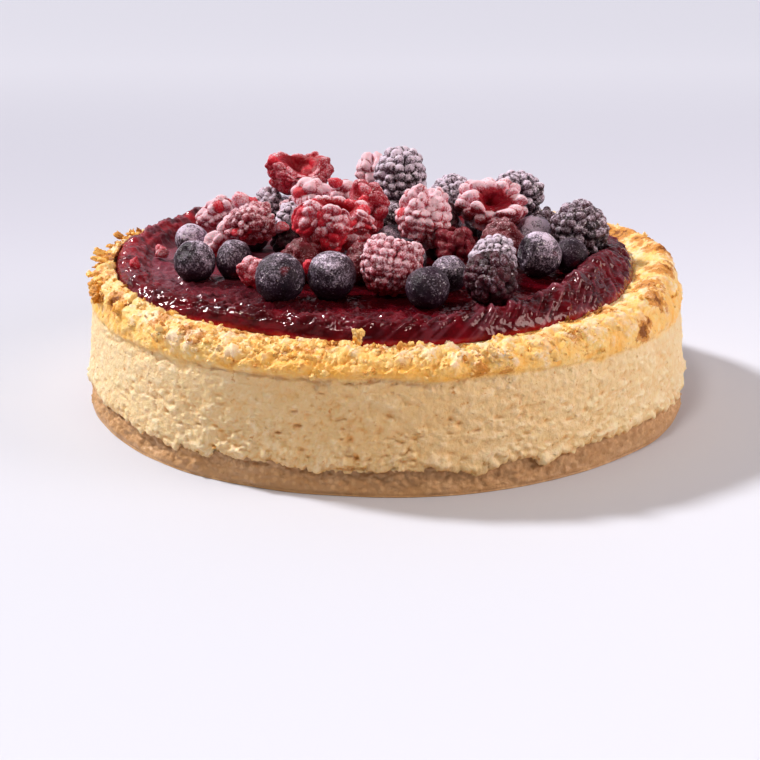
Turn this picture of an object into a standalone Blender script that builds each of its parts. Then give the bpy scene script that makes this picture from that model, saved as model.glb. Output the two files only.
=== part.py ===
"""A whole baked cheesecake: a biscuit base, a tall porous filling with a raised rim, a thick disc of
berry jam in its dished top, and a heap of frosted berries on the jam.

Metres, +Z up. The origin is the middle of the flat underside, and -Y is the front, where the rim has
crumbled lowest. Angles round the cake are measured from +X towards +Y.
"""

import math

import bmesh
import bpy
from mathutils import Matrix, Vector
from mathutils.bvhtree import BVHTree

MM = 0.001

# The cake, in millimetres.
CAKE_RADIUS = 100.0
BASE_HEIGHT = 9.0
BASE_SPREAD = 1.0
GAP = 0.3
RIM_HEIGHT = 47.0
RIM_DROP_AT_FRONT = 7.2
RIM_RADIUS = 92.0
LEDGE_HEIGHT = 43.3
LEDGE_DROP_AT_FRONT = 4.3
DISH_HEIGHT = 38.6

# The jam, in millimetres.
JAM_RADIUS = 86.5
JAM_OFFSET = 4.0
JAM_FLOOR = 43.5
JAM_LIP = 4.6

CAKE_SEGMENTS = 60
BERRY_SEGMENTS = 11

# Each layer or kind of berry: base colour, roughness.
FINISHES = {
    "biscuit_base": ((0.52, 0.40, 0.28), 0.6),
    "filling": ((0.86, 0.70, 0.42), 0.7),
    "jam": ((0.16, 0.004, 0.012), 0.12),
    "blueberry": ((0.05, 0.05, 0.09), 0.5),
    "raspberry": ((0.48, 0.03, 0.06), 0.5),
    "bramble": ((0.07, 0.03, 0.06), 0.5),
}

# Half sections of the berries, from the tip to the stalk end, as shares of the width and the length.
# A blueberry ends in a shallow crown, and a raspberry is hollow where its core has come out.
SECTIONS = {
    "blueberry": [
        (0, -0.5),
        (0.27, -0.42),
        (0.44, -0.23),
        (0.5, 0),
        (0.44, 0.25),
        (0.29, 0.43),
        (0.15, 0.45),
        (0, 0.38),
    ],
    "raspberry": [
        (0, -0.5),
        (0.28, -0.42),
        (0.42, -0.22),
        (0.5, 0.06),
        (0.46, 0.34),
        (0.34, 0.5),
        (0.2, 0.4),
        (0, 0.02),
    ],
    "bramble": [
        (0, -0.5),
        (0.27, -0.43),
        (0.43, -0.24),
        (0.5, 0.02),
        (0.44, 0.28),
        (0.26, 0.46),
        (0, 0.47),
    ],
}
# How far every second point of a berry's rings stands out, and the others in, as a share of its width.
DRUPELET_RELIEF = {"blueberry": 0.0, "raspberry": 0.05, "bramble": 0.06}

# The heap, hand-placed: kind, place (x, y, z), size (width, depth, length), then how the berry lies:
# the heading its stalk end leans to, how far it leans from upright, its turn about its own length, and
# how firmly it keeps its place as the heap settles.
SHOWN, BURIED = 6.0, 1.0
HEAP = [
    # the front row, on the jam, from left to right
    ("blueberry", (-60, -33, 49), (13, 13, 12), (-110, 40, 0), SHOWN),
    ("blueberry", (-66, 2, 48.5), (11.5, 11.5, 10.5), (170, 30, 0), SHOWN),
    ("blueberry", (-48, -30, 49.5), (11, 11, 12.5), (60, 20, 0), SHOWN),
    ("blueberry", (-31, -58, 50.5), (14.5, 14.5, 13.5), (100, 35, 0), SHOWN),
    ("blueberry", (-16, -55, 50), (14.5, 14.5, 13.5), (70, 30, 0), SHOWN),
    ("blueberry", (12, -65, 50), (12.5, 12.5, 12.5), (-60, 10, 0), SHOWN),
    ("blueberry", (19, -46, 49), (11, 11, 11), (90, 15, 0), SHOWN),
    ("blueberry", (49, -27, 51), (15, 13, 13), (150, 60, 0), SHOWN),
    ("blueberry", (59, -21, 48.5), (11, 11, 11), (20, 20, 0), SHOWN),
    ("bramble", (31, -61, 51.5), (16, 16, 15), (-100, 60, 0), SHOWN),
    ("bramble", (33, -40, 51.5), (15, 15, 16), (80, 25, 0), SHOWN),
    ("bramble", (65, -3, 54), (19.5, 19, 20.5), (-160, 12, 0), SHOWN),
    ("raspberry", (2, -52, 52.5), (19.5, 19, 17.5), (50, 20, 0), SHOWN),
    ("raspberry", (-39, -43, 49), (9.5, 9, 11), (160, 60, 0), SHOWN),
    ("bramble", (-35, -12, 50), (15, 13, 15), (0, 80, 0), BURIED),
    # the second layer, from left to right
    ("raspberry", (-44, -15, 57.5), (13.5, 14, 16.5), (20, 78, 0), SHOWN),
    ("raspberry", (-55, -4, 53), (11, 10, 17), (0, 42, 0), SHOWN),
    ("raspberry", (-61, 20, 55), (8.5, 8.5, 14), (5, 52, 0), SHOWN),
    ("bramble", (-43, 30, 56), (11, 11, 13), (80, 30, 0), SHOWN),
    ("bramble", (-33, 8, 53), (10.5, 10.5, 18), (0, 4, 0), SHOWN),
    ("blueberry", (-20, -7, 58), (12, 12, 12), (-90, 10, 0), SHOWN),
    ("raspberry", (-17, -25, 58.5), (18, 16, 26), (-12, 84, 0), SHOWN),
    ("raspberry", (-26, 13, 62), (14.5, 12, 11), (110, 10, 0), SHOWN),
    ("raspberry", (-5, -8, 60.5), (14, 13, 17.5), (70, 20, 0), SHOWN),
    ("raspberry", (12, -17, 60), (18.5, 17, 20.5), (60, 12, 0), SHOWN),
    ("bramble", (21, 0, 54), (13.5, 13.5, 20.5), (0, 4, 0), BURIED),
    ("raspberry", (35, 3, 60), (25, 19, 14), (-84, 52, 0), SHOWN),
    ("bramble", (45, 27, 60.5), (18.5, 18, 22), (8, 78, 0), SHOWN),
    ("raspberry", (22, -27, 52), (12.5, 12, 15.5), (140, 10, 0), SHOWN),
    ("blueberry", (50, 2, 51), (12.5, 12.5, 14.5), (60, 20, 0), SHOWN),
    ("bramble", (55, 18, 51), (11.5, 11.5, 14), (30, 15, 0), SHOWN),
    # the top of the heap
    ("raspberry", (-31, 32, 66), (24.5, 20, 14.5), (-90, 6, 0), SHOWN),
    ("bramble", (5, 20, 68.5), (18.5, 18.5, 20.5), (90, 6, 0), SHOWN),
    ("raspberry", (-4, 33, 67), (13.5, 12, 17), (130, 15, 0), SHOWN),
    ("bramble", (23, 38, 60), (16, 15, 16.5), (15, 75, 0), SHOWN),
    ("raspberry", (-15, 9, 62.5), (8.5, 8, 9), (80, 20, 0), SHOWN),
    # what lies under and behind these
    ("raspberry", (-27, -36, 50.5), (13, 13, 13), (30, 50, 0), BURIED),
    ("raspberry", (-8, -38, 51.5), (12.5, 12.5, 13), (-30, 50, 0), BURIED),
    ("blueberry", (6, -30, 50.5), (13.5, 13.5, 13), (0, 20, 0), BURIED),
    ("blueberry", (-16, -18, 50), (13, 13, 12.5), (0, 20, 0), BURIED),
    ("blueberry", (-47, 9, 50), (13.5, 13.5, 13), (0, 20, 0), BURIED),
    ("raspberry", (-52, 26, 51), (12, 12, 13), (200, 60, 0), BURIED),
    ("blueberry", (0, -10, 50), (13.5, 13.5, 13), (0, 20, 0), BURIED),
    ("bramble", (-17, 7, 52), (15, 15, 16.5), (0, 10, 0), BURIED),
    ("raspberry", (38, -13, 51.5), (14.5, 14.5, 15), (0, 40, 0), BURIED),
    ("blueberry", (20, 14, 50), (13.5, 13.5, 13), (0, 20, 0), BURIED),
    ("bramble", (2, 12, 52.5), (15.5, 15.5, 17), (40, 20, 0), BURIED),
    ("blueberry", (38, 12, 50), (13, 13, 12.5), (0, 20, 0), BURIED),
    ("raspberry", (-31, 26, 52.5), (15.5, 15.5, 16), (120, 30, 0), BURIED),
    ("blueberry", (-13, 28, 51), (14, 14, 14), (0, 20, 0), BURIED),
    ("raspberry", (5, 34, 53), (15, 15, 16), (60, 30, 0), BURIED),
    ("blueberry", (35, 36, 50), (13, 13, 12.5), (0, 20, 0), BURIED),
    ("blueberry", (-38, 45, 50), (13.5, 13.5, 13), (0, 20, 0), BURIED),
    ("bramble", (-19, 47, 53), (15.5, 15.5, 17), (100, 30, 0), BURIED),
    ("blueberry", (1, 53, 50.5), (14, 14, 13.5), (0, 20, 0), BURIED),
    ("raspberry", (21, 52, 51), (14, 14, 14), (80, 60, 0), BURIED),
    ("blueberry", (52, 38, 49.5), (12, 12, 12), (0, 20, 0), BURIED),
]
SETTLE_ROUNDS = 400
SETTLE_STEP = 0.12
SINK_STEP = 0.15
DEEPEST_SINK = 6.0


def clear_scene():
    for obj in list(bpy.data.objects):
        bpy.data.objects.remove(obj)


def finish_of(name):
    material = bpy.data.materials.get(name)
    if material is None:
        colour, roughness = FINISHES[name]
        material = bpy.data.materials.new(name)
        material.use_nodes = True
        shader = material.node_tree.nodes["Principled BSDF"]
        shader.inputs["Base Color"].default_value = (*colour, 1)
        shader.inputs["Roughness"].default_value = roughness
        shader.inputs["Metallic"].default_value = 0.0
    return material


def bump(angle, centre, half_width):
    """A smooth hill of height 1 at one heading. The centre and half width are in degrees."""
    away = (math.degrees(angle) - centre + 180) % 360 - 180
    return math.exp(-((away / half_width) ** 2))


def frontness(angle):
    """1 at the front of the cake and 0 from its sides round the back."""
    return max(0.0, -math.sin(angle)) ** 1.2


def rim_height(angle):
    lumps = 0.5 * math.sin(5 * angle + 1) + 0.35 * math.sin(11 * angle)
    return RIM_HEIGHT - RIM_DROP_AT_FRONT * frontness(angle) + lumps


def ledge_height(angle):
    """The height at which the jam's edge meets the inside of the rim."""
    return LEDGE_HEIGHT - LEDGE_DROP_AT_FRONT * frontness(angle)


def jam_radius(angle):
    sag = 2.6 * bump(angle, -72, 18) - 2.4 * bump(angle, -118, 14)
    return JAM_RADIUS - JAM_OFFSET * math.cos(angle) + sag + 0.7 * math.sin(7 * angle)


def jam_lip(angle):
    """How far the jam's rolled edge stands above the ledge."""
    return JAM_LIP + 2.6 * bump(angle, -80, 40) + 3.4 * bump(angle, -30, 22) + 1.6 * bump(angle, 135, 30)


def side_radius(angle):
    return CAKE_RADIUS + 0.5 * math.sin(3 * angle + 0.6) + 0.3 * math.sin(8 * angle)


def add_solid(name, rings, low_point, high_point, finish):
    """A closed solid of rings of points, from the lowest inner one round the outside to the highest
    inner one, closed by a fan of faces to a point at each end."""
    mesh_builder = bmesh.new()
    loops = [[mesh_builder.verts.new(point) for point in ring] for ring in rings]
    count = len(loops[0])
    low = mesh_builder.verts.new(low_point)
    high = mesh_builder.verts.new(high_point)
    for i in range(count):
        j = (i + 1) % count
        mesh_builder.faces.new((low, loops[0][j], loops[0][i]))
        mesh_builder.faces.new((high, loops[-1][i], loops[-1][j]))
        for lower, upper in zip(loops, loops[1:]):
            mesh_builder.faces.new((lower[i], lower[j], upper[j], upper[i]))
    bmesh.ops.recalc_face_normals(mesh_builder, faces=mesh_builder.faces)
    bmesh.ops.triangulate(mesh_builder, faces=mesh_builder.faces)
    mesh = bpy.data.meshes.new(name)
    mesh_builder.to_mesh(mesh)
    mesh_builder.free()
    mesh.materials.append(finish_of(finish))
    mesh.shade_smooth()
    mesh.set_sharp_from_angle(angle=math.radians(40))
    obj = bpy.data.objects.new(name, mesh)
    bpy.context.scene.collection.objects.link(obj)
    return obj


def add_layer(name, section):
    """A round layer of the cake. section(angle) gives its (radius, height) outline in millimetres,
    whose first and last points lie on the axis."""
    angles = [2 * math.pi * i / CAKE_SEGMENTS for i in range(CAKE_SEGMENTS)]
    outlines = [section(angle) for angle in angles]
    rings = []
    for k in range(1, len(outlines[0]) - 1):
        ring = []
        for angle, outline in zip(angles, outlines):
            radius, height = outline[k]
            ring.append(Vector((radius * math.cos(angle), radius * math.sin(angle), height)) * MM)
        rings.append(ring)
    low_point = Vector((0, 0, outlines[0][0][1])) * MM
    high_point = Vector((0, 0, outlines[0][-1][1])) * MM
    return add_solid(name, rings, low_point, high_point, name)


def base_section(angle):
    radius = side_radius(angle)
    return [
        (0, 0),
        (radius + BASE_SPREAD, 0),
        (radius + 0.3 * BASE_SPREAD, 0.4 * BASE_HEIGHT),
        (radius - 1.2, BASE_HEIGHT),
        (0, BASE_HEIGHT),
    ]


def filling_section(angle):
    radius = side_radius(angle)
    rim = rim_height(angle)
    ledge = ledge_height(angle)
    foot = jam_radius(angle)
    under = BASE_HEIGHT + GAP
    crest = RIM_RADIUS - 0.6 * frontness(angle)
    return [
        (0, under),
        (radius - 0.8, under),
        (radius + 0.5, under + 2.5),
        (radius - 0.2, 0.42 * RIM_HEIGHT),
        (radius - 1.4 + frontness(angle), 0.7 * RIM_HEIGHT),
        (radius - 4.2 + 2.4 * frontness(angle), rim - 3.4),
        (crest + 1.6 * frontness(angle), rim),
        (min(foot + 1.5, crest - 0.8), ledge + 0.3),
        (foot - 10, DISH_HEIGHT),
        (0, DISH_HEIGHT),
    ]


def jam_section(angle):
    foot = jam_radius(angle)
    ledge = ledge_height(angle)
    lip = jam_lip(angle)
    return [
        (0, DISH_HEIGHT + GAP),
        (foot - 10, DISH_HEIGHT + GAP),
        (foot - 0.8, ledge + 2 * GAP),
        (foot + 0.2, ledge + 0.35 * lip),
        (foot - 1.2, ledge + 0.8 * lip),
        (foot - 4.0, ledge + lip),
        (foot - 8.0, max(JAM_FLOOR, ledge + 0.7 * lip)),
        (foot - 13.0, JAM_FLOOR),
        (0, JAM_FLOOR),
    ]


def berry_rings(kind, width, depth, length):
    """The rings and end points of a berry about its own middle, stalk end up. Every second point of
    a ring stands out or in, as the drupelets do."""
    section = SECTIONS[kind]
    rings = []
    for k, (out, up) in enumerate(section[1:-1]):
        ring = []
        for i in range(BERRY_SEGMENTS):
            turn = 2 * math.pi * (i + 0.5 * (k % 2)) / BERRY_SEGMENTS
            relief = 1 + DRUPELET_RELIEF[kind] * (1 if i % 2 else -1)
            along = out * width * relief * math.cos(turn)
            across = out * depth * relief * math.sin(turn)
            ring.append(Vector((along, across, up * length)) * MM)
        rings.append(ring)
    return rings, Vector((0, 0, section[0][1] * length)) * MM, Vector((0, 0, section[-1][1] * length)) * MM


def add_berries():
    """Every berry at its hand-placed spot, and how firmly each keeps it."""
    counts = {kind: 0 for kind in SECTIONS}
    berries = []
    for kind, place, size, lie, hold in HEAP:
        counts[kind] += 1
        rings, low_point, high_point = berry_rings(kind, *size)
        berry = add_solid(f"{kind}_{counts[kind]:02d}", rings, low_point, high_point, kind)
        heading, lean, turn = (math.radians(angle) for angle in lie)
        leaning = Matrix.Rotation(heading, 4, "Z") @ Matrix.Rotation(lean, 4, "Y")
        berry.rotation_euler = (leaning @ Matrix.Rotation(turn - heading, 4, "Z")).to_euler()
        berry.location = Vector(place) * MM
        berries.append((berry, hold))
    return berries


def grown_tree(berry):
    """The berry's surface grown by half the gap, for finding where two berries meet."""
    turned = berry.rotation_euler.to_matrix()
    points = []
    for vertex in berry.data.vertices:
        point = turned @ vertex.co
        points.append(berry.location + point + point.normalized() * 0.6 * GAP * MM)
    return BVHTree.FromPolygons(points, [tuple(face.vertices) for face in berry.data.polygons])


def spread(berries):
    """Pushes berries that meet apart, the looser one further, and lifts each clear of the jam."""
    lowest = (JAM_FLOOR + GAP) * MM
    reach = {berry.name: max(vertex.co.length for vertex in berry.data.vertices) for berry, _ in berries}
    for _ in range(SETTLE_ROUNDS):
        trees = {berry.name: grown_tree(berry) for berry, _ in berries}
        moved = False
        for i, (first, first_hold) in enumerate(berries):
            for second, second_hold in berries[i + 1 :]:
                apart = second.location - first.location
                if apart.length > reach[first.name] + reach[second.name] + GAP * MM:
                    continue
                if not trees[first.name].overlap(trees[second.name]):
                    continue
                push = apart.normalized() * SETTLE_STEP * MM
                share = second_hold / (first_hold + second_hold)
                first.location -= push * share
                second.location += push * (1 - share)
                moved = True
        for berry, _ in berries:
            turned = berry.rotation_euler.to_matrix()
            bottom = berry.location.z + min((turned @ vertex.co).z for vertex in berry.data.vertices)
            if bottom < lowest:
                berry.location.z += lowest - bottom
        if not moved:
            return


def sink(berries, jam):
    """Lowers the berries one by one, the lowest first, each until it meets what lies under it."""
    settled = [BVHTree.FromObject(jam, bpy.context.evaluated_depsgraph_get())]
    waiting = {berry.name: grown_tree(berry) for berry, _ in berries}
    for berry, _ in sorted(berries, key=lambda item: item[0].location.z):
        waiting.pop(berry.name)
        others = settled + list(waiting.values())
        start = berry.location.z
        while start - berry.location.z < DEEPEST_SINK * MM:
            berry.location.z -= SINK_STEP * MM
            tree = grown_tree(berry)
            if any(tree.overlap(other) for other in others):
                berry.location.z += SINK_STEP * MM
                break
        settled.append(grown_tree(berry))


def main():
    clear_scene()
    add_layer("biscuit_base", base_section)
    add_layer("filling", filling_section)
    jam = add_layer("jam", jam_section)
    berries = add_berries()
    spread(berries)
    sink(berries, jam)


main()
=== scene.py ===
"""The looks of a whole baked cheesecake with a jam top and a heap of frosted berries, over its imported
CAD frame. Shapes are worked out in millimetres and written to the meshes in metres."""

import math

import bpy
import numpy as np
from mathutils import Matrix, Vector


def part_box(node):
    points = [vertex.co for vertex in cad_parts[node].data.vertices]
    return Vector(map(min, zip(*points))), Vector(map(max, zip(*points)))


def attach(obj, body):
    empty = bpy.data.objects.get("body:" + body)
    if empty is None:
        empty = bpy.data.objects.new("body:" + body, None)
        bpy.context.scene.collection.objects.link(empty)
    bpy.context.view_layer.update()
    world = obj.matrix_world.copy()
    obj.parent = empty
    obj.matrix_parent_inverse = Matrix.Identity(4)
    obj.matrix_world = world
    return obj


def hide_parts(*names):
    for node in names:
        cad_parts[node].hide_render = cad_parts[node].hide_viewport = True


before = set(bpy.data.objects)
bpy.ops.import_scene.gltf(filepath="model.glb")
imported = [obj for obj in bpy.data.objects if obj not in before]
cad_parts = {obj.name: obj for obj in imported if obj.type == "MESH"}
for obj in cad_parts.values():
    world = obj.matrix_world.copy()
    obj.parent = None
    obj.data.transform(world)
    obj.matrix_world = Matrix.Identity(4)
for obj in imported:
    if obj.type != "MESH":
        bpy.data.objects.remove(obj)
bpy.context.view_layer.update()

MM = 0.001

# The cake, in millimetres. Most sizes are the CAD's own, but its crumbled rim stands a little higher.
CAKE_RADIUS = 100.0
BASE_HEIGHT = 9.0
FILLING_UNDERSIDE = BASE_HEIGHT + 0.2
FILLING_UNDER_JAM = 38.6
RIM_HEIGHT = 47.4
RIM_DROP_AT_FRONT = 7.7
RIM_RADIUS = 92.0
LEDGE_HEIGHT = 43.3
LEDGE_DROP_AT_FRONT = 4.3
CREASE_HEIGHT = 32.3
JAM_RADIUS = 86.5
JAM_OFFSET = 4.0
JAM_UNDERSIDE = 40.0
JAM_FLOOR = 43.5
JAM_LIP = 4.6

# Points round each layer.
AROUND_FILLING = 840
AROUND_BASE = 720
AROUND_JAM = 900

# How many loose crumbs lie on the rim, stand in its little heap at the front, and lie on it as flakes.
CRUMBS = 800
HEAPED_CRUMBS = 28
SMALL_FLAKES = 26

# Radii in millimetres at which the jam's patterns are laid round the cake: the roll's own, and a
# smaller one that draws its wrinkles out.
ROLL_RADIUS = 86
WRINKLE_RADIUS = 45


# ---------------------------------------------------------------- noise


def hashed(cell, seed):
    """A repeatable random number from 0 to 1 for each whole-number point of an array [..., 3]."""
    cell = cell.astype(np.int64)
    mixed = cell[..., 0] * 374761393 + cell[..., 1] * 668265263 + cell[..., 2] * 1013904223
    mixed = mixed + seed * 97531
    mixed = (mixed ^ (mixed >> 13)) & 0xFFFFFFFF
    mixed = (mixed * 1274126177) & 0xFFFFFFFF
    return ((mixed ^ (mixed >> 16)) & 0xFFFFFF) / 0x1000000


def noise(points, size, seed=0):
    """Smooth noise from about -1 to 1, in lumps of about that size in millimetres."""
    scaled = points / size + 100.0
    corner = np.floor(scaled)
    part = scaled - corner
    eased = part * part * part * (part * (part * 6 - 15) + 10)
    total = 0.0
    for step in np.ndindex(2, 2, 2):
        cell = corner + step
        slope = np.stack([hashed(cell, seed + 31 * k) - 0.5 for k in range(3)], axis=-1)
        weight = np.prod(np.where(step, eased, 1 - eased), axis=-1)
        total = total + weight * ((part - step) * slope).sum(axis=-1)
    return 2.8 * total


def rotation(z, y=0.0, x=0.0):
    """A matrix that turns about the x, then the y, then the z axis, by angles in radians."""
    return Matrix.Rotation(z, 3, "Z") @ Matrix.Rotation(y, 3, "Y") @ Matrix.Rotation(x, 3, "X")


TWIST = np.array(Matrix.Rotation(0.9, 3, "X") @ Matrix.Rotation(1.3, 3, "Y") @ Matrix.Rotation(0.7, 3, "Z"))


def layered(points, size, octaves=4, seed=0, keep=0.5):
    """Noise with ever finer lumps added, from about -1 to 1."""
    total, full, weight = 0.0, 0.0, 1.0
    for octave in range(octaves):
        total = total + weight * noise(points, size, seed + 13 * octave)
        full += weight
        weight *= keep
        size *= 0.5
        points = points @ TWIST
    return 1.6 * total / full


def puffs(points, size, octaves=4, seed=0, keep=0.6):
    """Rounded lumps with sharp creases between them and ever finer ones on those, from 0 to about 1."""
    total, full, weight = 0.0, 0.0, 1.0
    for octave in range(octaves):
        total = total + weight * np.abs(noise(points, size, seed + 17 * octave))
        full += weight
        weight *= keep
        size *= 0.5
        points = points @ TWIST
    return 2.6 * total / full


def cells(points, size, seed=0):
    """Distances to the nearest and second nearest of scattered spots, in spot spacings, and a random
    number of the nearest spot's own."""
    scaled = points / size + 100.0
    corner = np.floor(scaled)
    nearest = np.full(points.shape[:-1], 9.0)
    second = nearest.copy()
    tone = np.zeros(points.shape[:-1])
    for step in np.ndindex(3, 3, 3):
        cell = corner + step - 1
        spot = cell + np.stack([hashed(cell, seed + k) for k in range(3)], axis=-1)
        away = np.linalg.norm(spot - scaled, axis=-1)
        closer = away < nearest
        second = np.where(closer, nearest, np.minimum(second, away))
        tone = np.where(closer, hashed(cell, seed + 7), tone)
        nearest = np.where(closer, away, nearest)
    return nearest, second, tone


def ramp(value, low, high):
    """0 below low and 1 above high, eased between. High may be the smaller one."""
    part = np.clip((value - low) / (high - low), 0, 1)
    return part * part * (3 - 2 * part)


def hill(angle, centre, half_width):
    """A smooth hill of height 1 at one heading. The centre and half width are in degrees."""
    away = (np.degrees(angle) - centre + 180) % 360 - 180
    return np.exp(-((away / half_width) ** 2))


def hills(angle, *rows):
    """Such hills added up, each a (height, centre, half width) row."""
    return sum(height * hill(angle, centre, half_width) for height, centre, half_width in rows)


def blend(first, second, share):
    return first + (second - first) * share


def across(points):
    """How far points lie from the cake's axis."""
    return np.hypot(points[..., 0], points[..., 1])


def box_of(name):
    """The low and high corners of a CAD node's box, in millimetres."""
    return [np.array(corner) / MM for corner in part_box(name)]


# ---------------------------------------------------------------- meshes


def smooth_curve(controls, counts):
    """A smooth curve through control points [K, ...], with so many samples on each stretch."""
    samples = []
    last = len(controls) - 1
    for i in range(last):
        before, start, end, after = (controls[min(max(k, 0), last)] for k in (i - 1, i, i + 1, i + 2))
        for t in np.arange(counts[i]) / counts[i]:
            bend = (end - before) * t + (2 * before - 5 * start + 4 * end - after) * t * t
            bend = bend + (3 * start - before - 3 * end + after) * t * t * t
            samples.append(start + 0.5 * bend)
    samples.append(controls[last])
    return np.stack(samples)


def profile(controls, counts):
    """A smooth outline [rings, around, (radius, height)] through (radius, height) pairs."""
    return smooth_curve(np.stack([np.stack(pair, axis=-1) for pair in controls]), counts)


def headings(count):
    """Angles round the cake, closer together at its front than at its back."""
    even = np.linspace(0, 2 * math.pi, count, endpoint=False)
    return even - 0.45 * np.cos(even)


def turned(outline, angles):
    """Points [rings, around, 3] of an outline [rings, around, (radius, height)] at those angles."""
    radius = outline[..., 0]
    return np.stack([radius * np.cos(angles), radius * np.sin(angles), outline[..., 1]], axis=-1)


def outward(grid):
    """The normals of a grid of points that closes on itself sideways."""
    along = np.gradient(grid, axis=0)
    sideways = np.roll(grid, -1, axis=1) - np.roll(grid, 1, axis=1)
    normals = np.cross(sideways, along)
    return normals / np.maximum(np.linalg.norm(normals, axis=-1, keepdims=True), 1e-9)


def closed_faces(rings, around, first=0):
    """Faces between rings of points, with a fan to one more point at each end."""
    index = first + np.arange(rings * around).reshape(rings, around)
    beside = np.roll(index, -1, axis=1)
    quads = np.stack([index[:-1], beside[:-1], beside[1:], index[1:]], axis=-1).reshape(-1, 4)
    low = first + rings * around
    lows = np.stack([np.full(around, low), beside[0], index[0]], axis=-1)
    highs = np.stack([np.full(around, low + 1), index[-1], beside[-1]], axis=-1)
    return quads.tolist() + lows.tolist() + highs.tolist()


def make_piece(name, points, faces, material, slot, replaced=(), **values):
    """A smooth mesh piece of the cake, from points in millimetres, with named values on its points."""
    mesh = bpy.data.meshes.new(name)
    mesh.from_pydata((points.reshape(-1, 3) * MM).tolist(), [], faces)
    for key, value in values.items():
        attribute = mesh.attributes.new(key, "FLOAT", "POINT")
        attribute.data.foreach_set("value", np.asarray(value, np.float32).ravel())
    mesh.shade_smooth()
    mesh.materials.append(material)
    piece = bpy.data.objects.new(name, mesh)
    bpy.context.scene.collection.objects.link(piece)
    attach(piece, "root")
    if replaced:
        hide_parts(*replaced)


def with_ends(grid, low, high):
    """A grid's points as one list, with its two end points after them."""
    return np.concatenate([grid.reshape(-1, 3), [low, high]])


def ended(values):
    """Values of a grid's points as one list, with its first and last ring's for the end points."""
    return np.concatenate([values.ravel(), [values[0].mean(), values[-1].mean()]])


def make_closed(name, grid, ends, material, slot, node, **values):
    """A closed piece in place of one CAD node, from a grid of points, two end points and their values."""
    points = with_ends(grid, *ends)
    values = {key: ended(value) for key, value in values.items()}
    make_piece(name, points, closed_faces(*grid.shape[:2]), material, slot, [node], **values)


# ---------------------------------------------------------------- materials


class Nodes:
    """A small helper that builds the nodes of one material or world."""

    def __init__(self, owner):
        owner.use_nodes = True
        self.owner = owner
        self.tree = owner.node_tree
        self.coordinates = self.add("ShaderNodeTexCoord").outputs
        self.place = self.coordinates["Object"]

    def add(self, kind, inputs=None, **settings):
        """A new node, with its settings and inputs given by name or number."""
        made = self.tree.nodes.new(kind)
        for key, value in settings.items():
            setattr(made, key, value)
        for key, value in (inputs or {}).items():
            self.put(made.inputs[key], value)
        return made

    def put(self, target, value):
        """Links an output to an input, or sets the input's own value."""
        if isinstance(value, bpy.types.NodeSocket):
            self.tree.links.new(value, target)
        else:
            target.default_value = (*value, 1) if target.type == "RGBA" else value

    def value(self, name):
        return self.add("ShaderNodeAttribute", attribute_name=name).outputs["Fac"]

    def noise(self, scale, detail=3.0, roughness=0.55, place=None, distortion=0.0):
        inputs = {"Vector": place or self.place, "Scale": scale, "Detail": detail}
        inputs |= {"Roughness": roughness, "Distortion": distortion}
        return self.add("ShaderNodeTexNoise", inputs).outputs["Fac"]

    def spots(self, scale, place=None):
        inputs = {"Vector": place or self.place, "Scale": scale}
        return self.add("ShaderNodeTexVoronoi", inputs).outputs["Distance"]

    def stretched(self, scale, turn=0.0):
        inputs = {"Vector": self.place, "Rotation": (0, 0, turn), "Scale": scale}
        return self.add("ShaderNodeMapping", inputs).outputs["Vector"]

    def maths(self, operation, *values):
        return self.add("ShaderNodeMath", dict(enumerate(values)), operation=operation).outputs[0]

    def times(self, a, b):
        return self.maths("MULTIPLY", a, b)

    def wobble(self, value, pattern, amount):
        """A value made uneven by a pattern that runs from 0 to 1."""
        return self.maths("MULTIPLY_ADD", self.maths("SUBTRACT", pattern, 0.5), amount, value)

    def spread(self, value, low, high, to_low=0.0, to_high=1.0):
        """Maps low to high onto to_low to to_high, eased between and held at the ends."""
        inputs = {0: value, 1: low, 2: high, 3: to_low, 4: to_high}
        return self.add("ShaderNodeMapRange", inputs, interpolation_type="SMOOTHSTEP").outputs[0]

    def mix(self, share, first, second, blend="MIX"):
        inputs = {0: share, 6: first, 7: second}
        return self.add("ShaderNodeMix", inputs, data_type="RGBA", blend_type=blend).outputs[2]

    def lay(self, colour, over, share, weight):
        """A colour with another laid over it, by that weight of that share."""
        return self.mix(self.times(share, weight), colour, over)

    def bump(self, height, distance, strength, below=None):
        inputs = {"Height": height, "Distance": distance, "Strength": strength}
        if below is not None:
            inputs["Normal"] = below
        return self.add("ShaderNodeBump", inputs).outputs[0]

    def finish(self, kind="Principled BSDF", **inputs):
        """Sets or links a shader's inputs, by names with _ for each space."""
        for name, value in inputs.items():
            self.put(self.tree.nodes[kind].inputs[name.replace("_", " ")], value)
        return self.owner


def new_material(name):
    return Nodes(bpy.data.materials.new(name))


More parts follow.
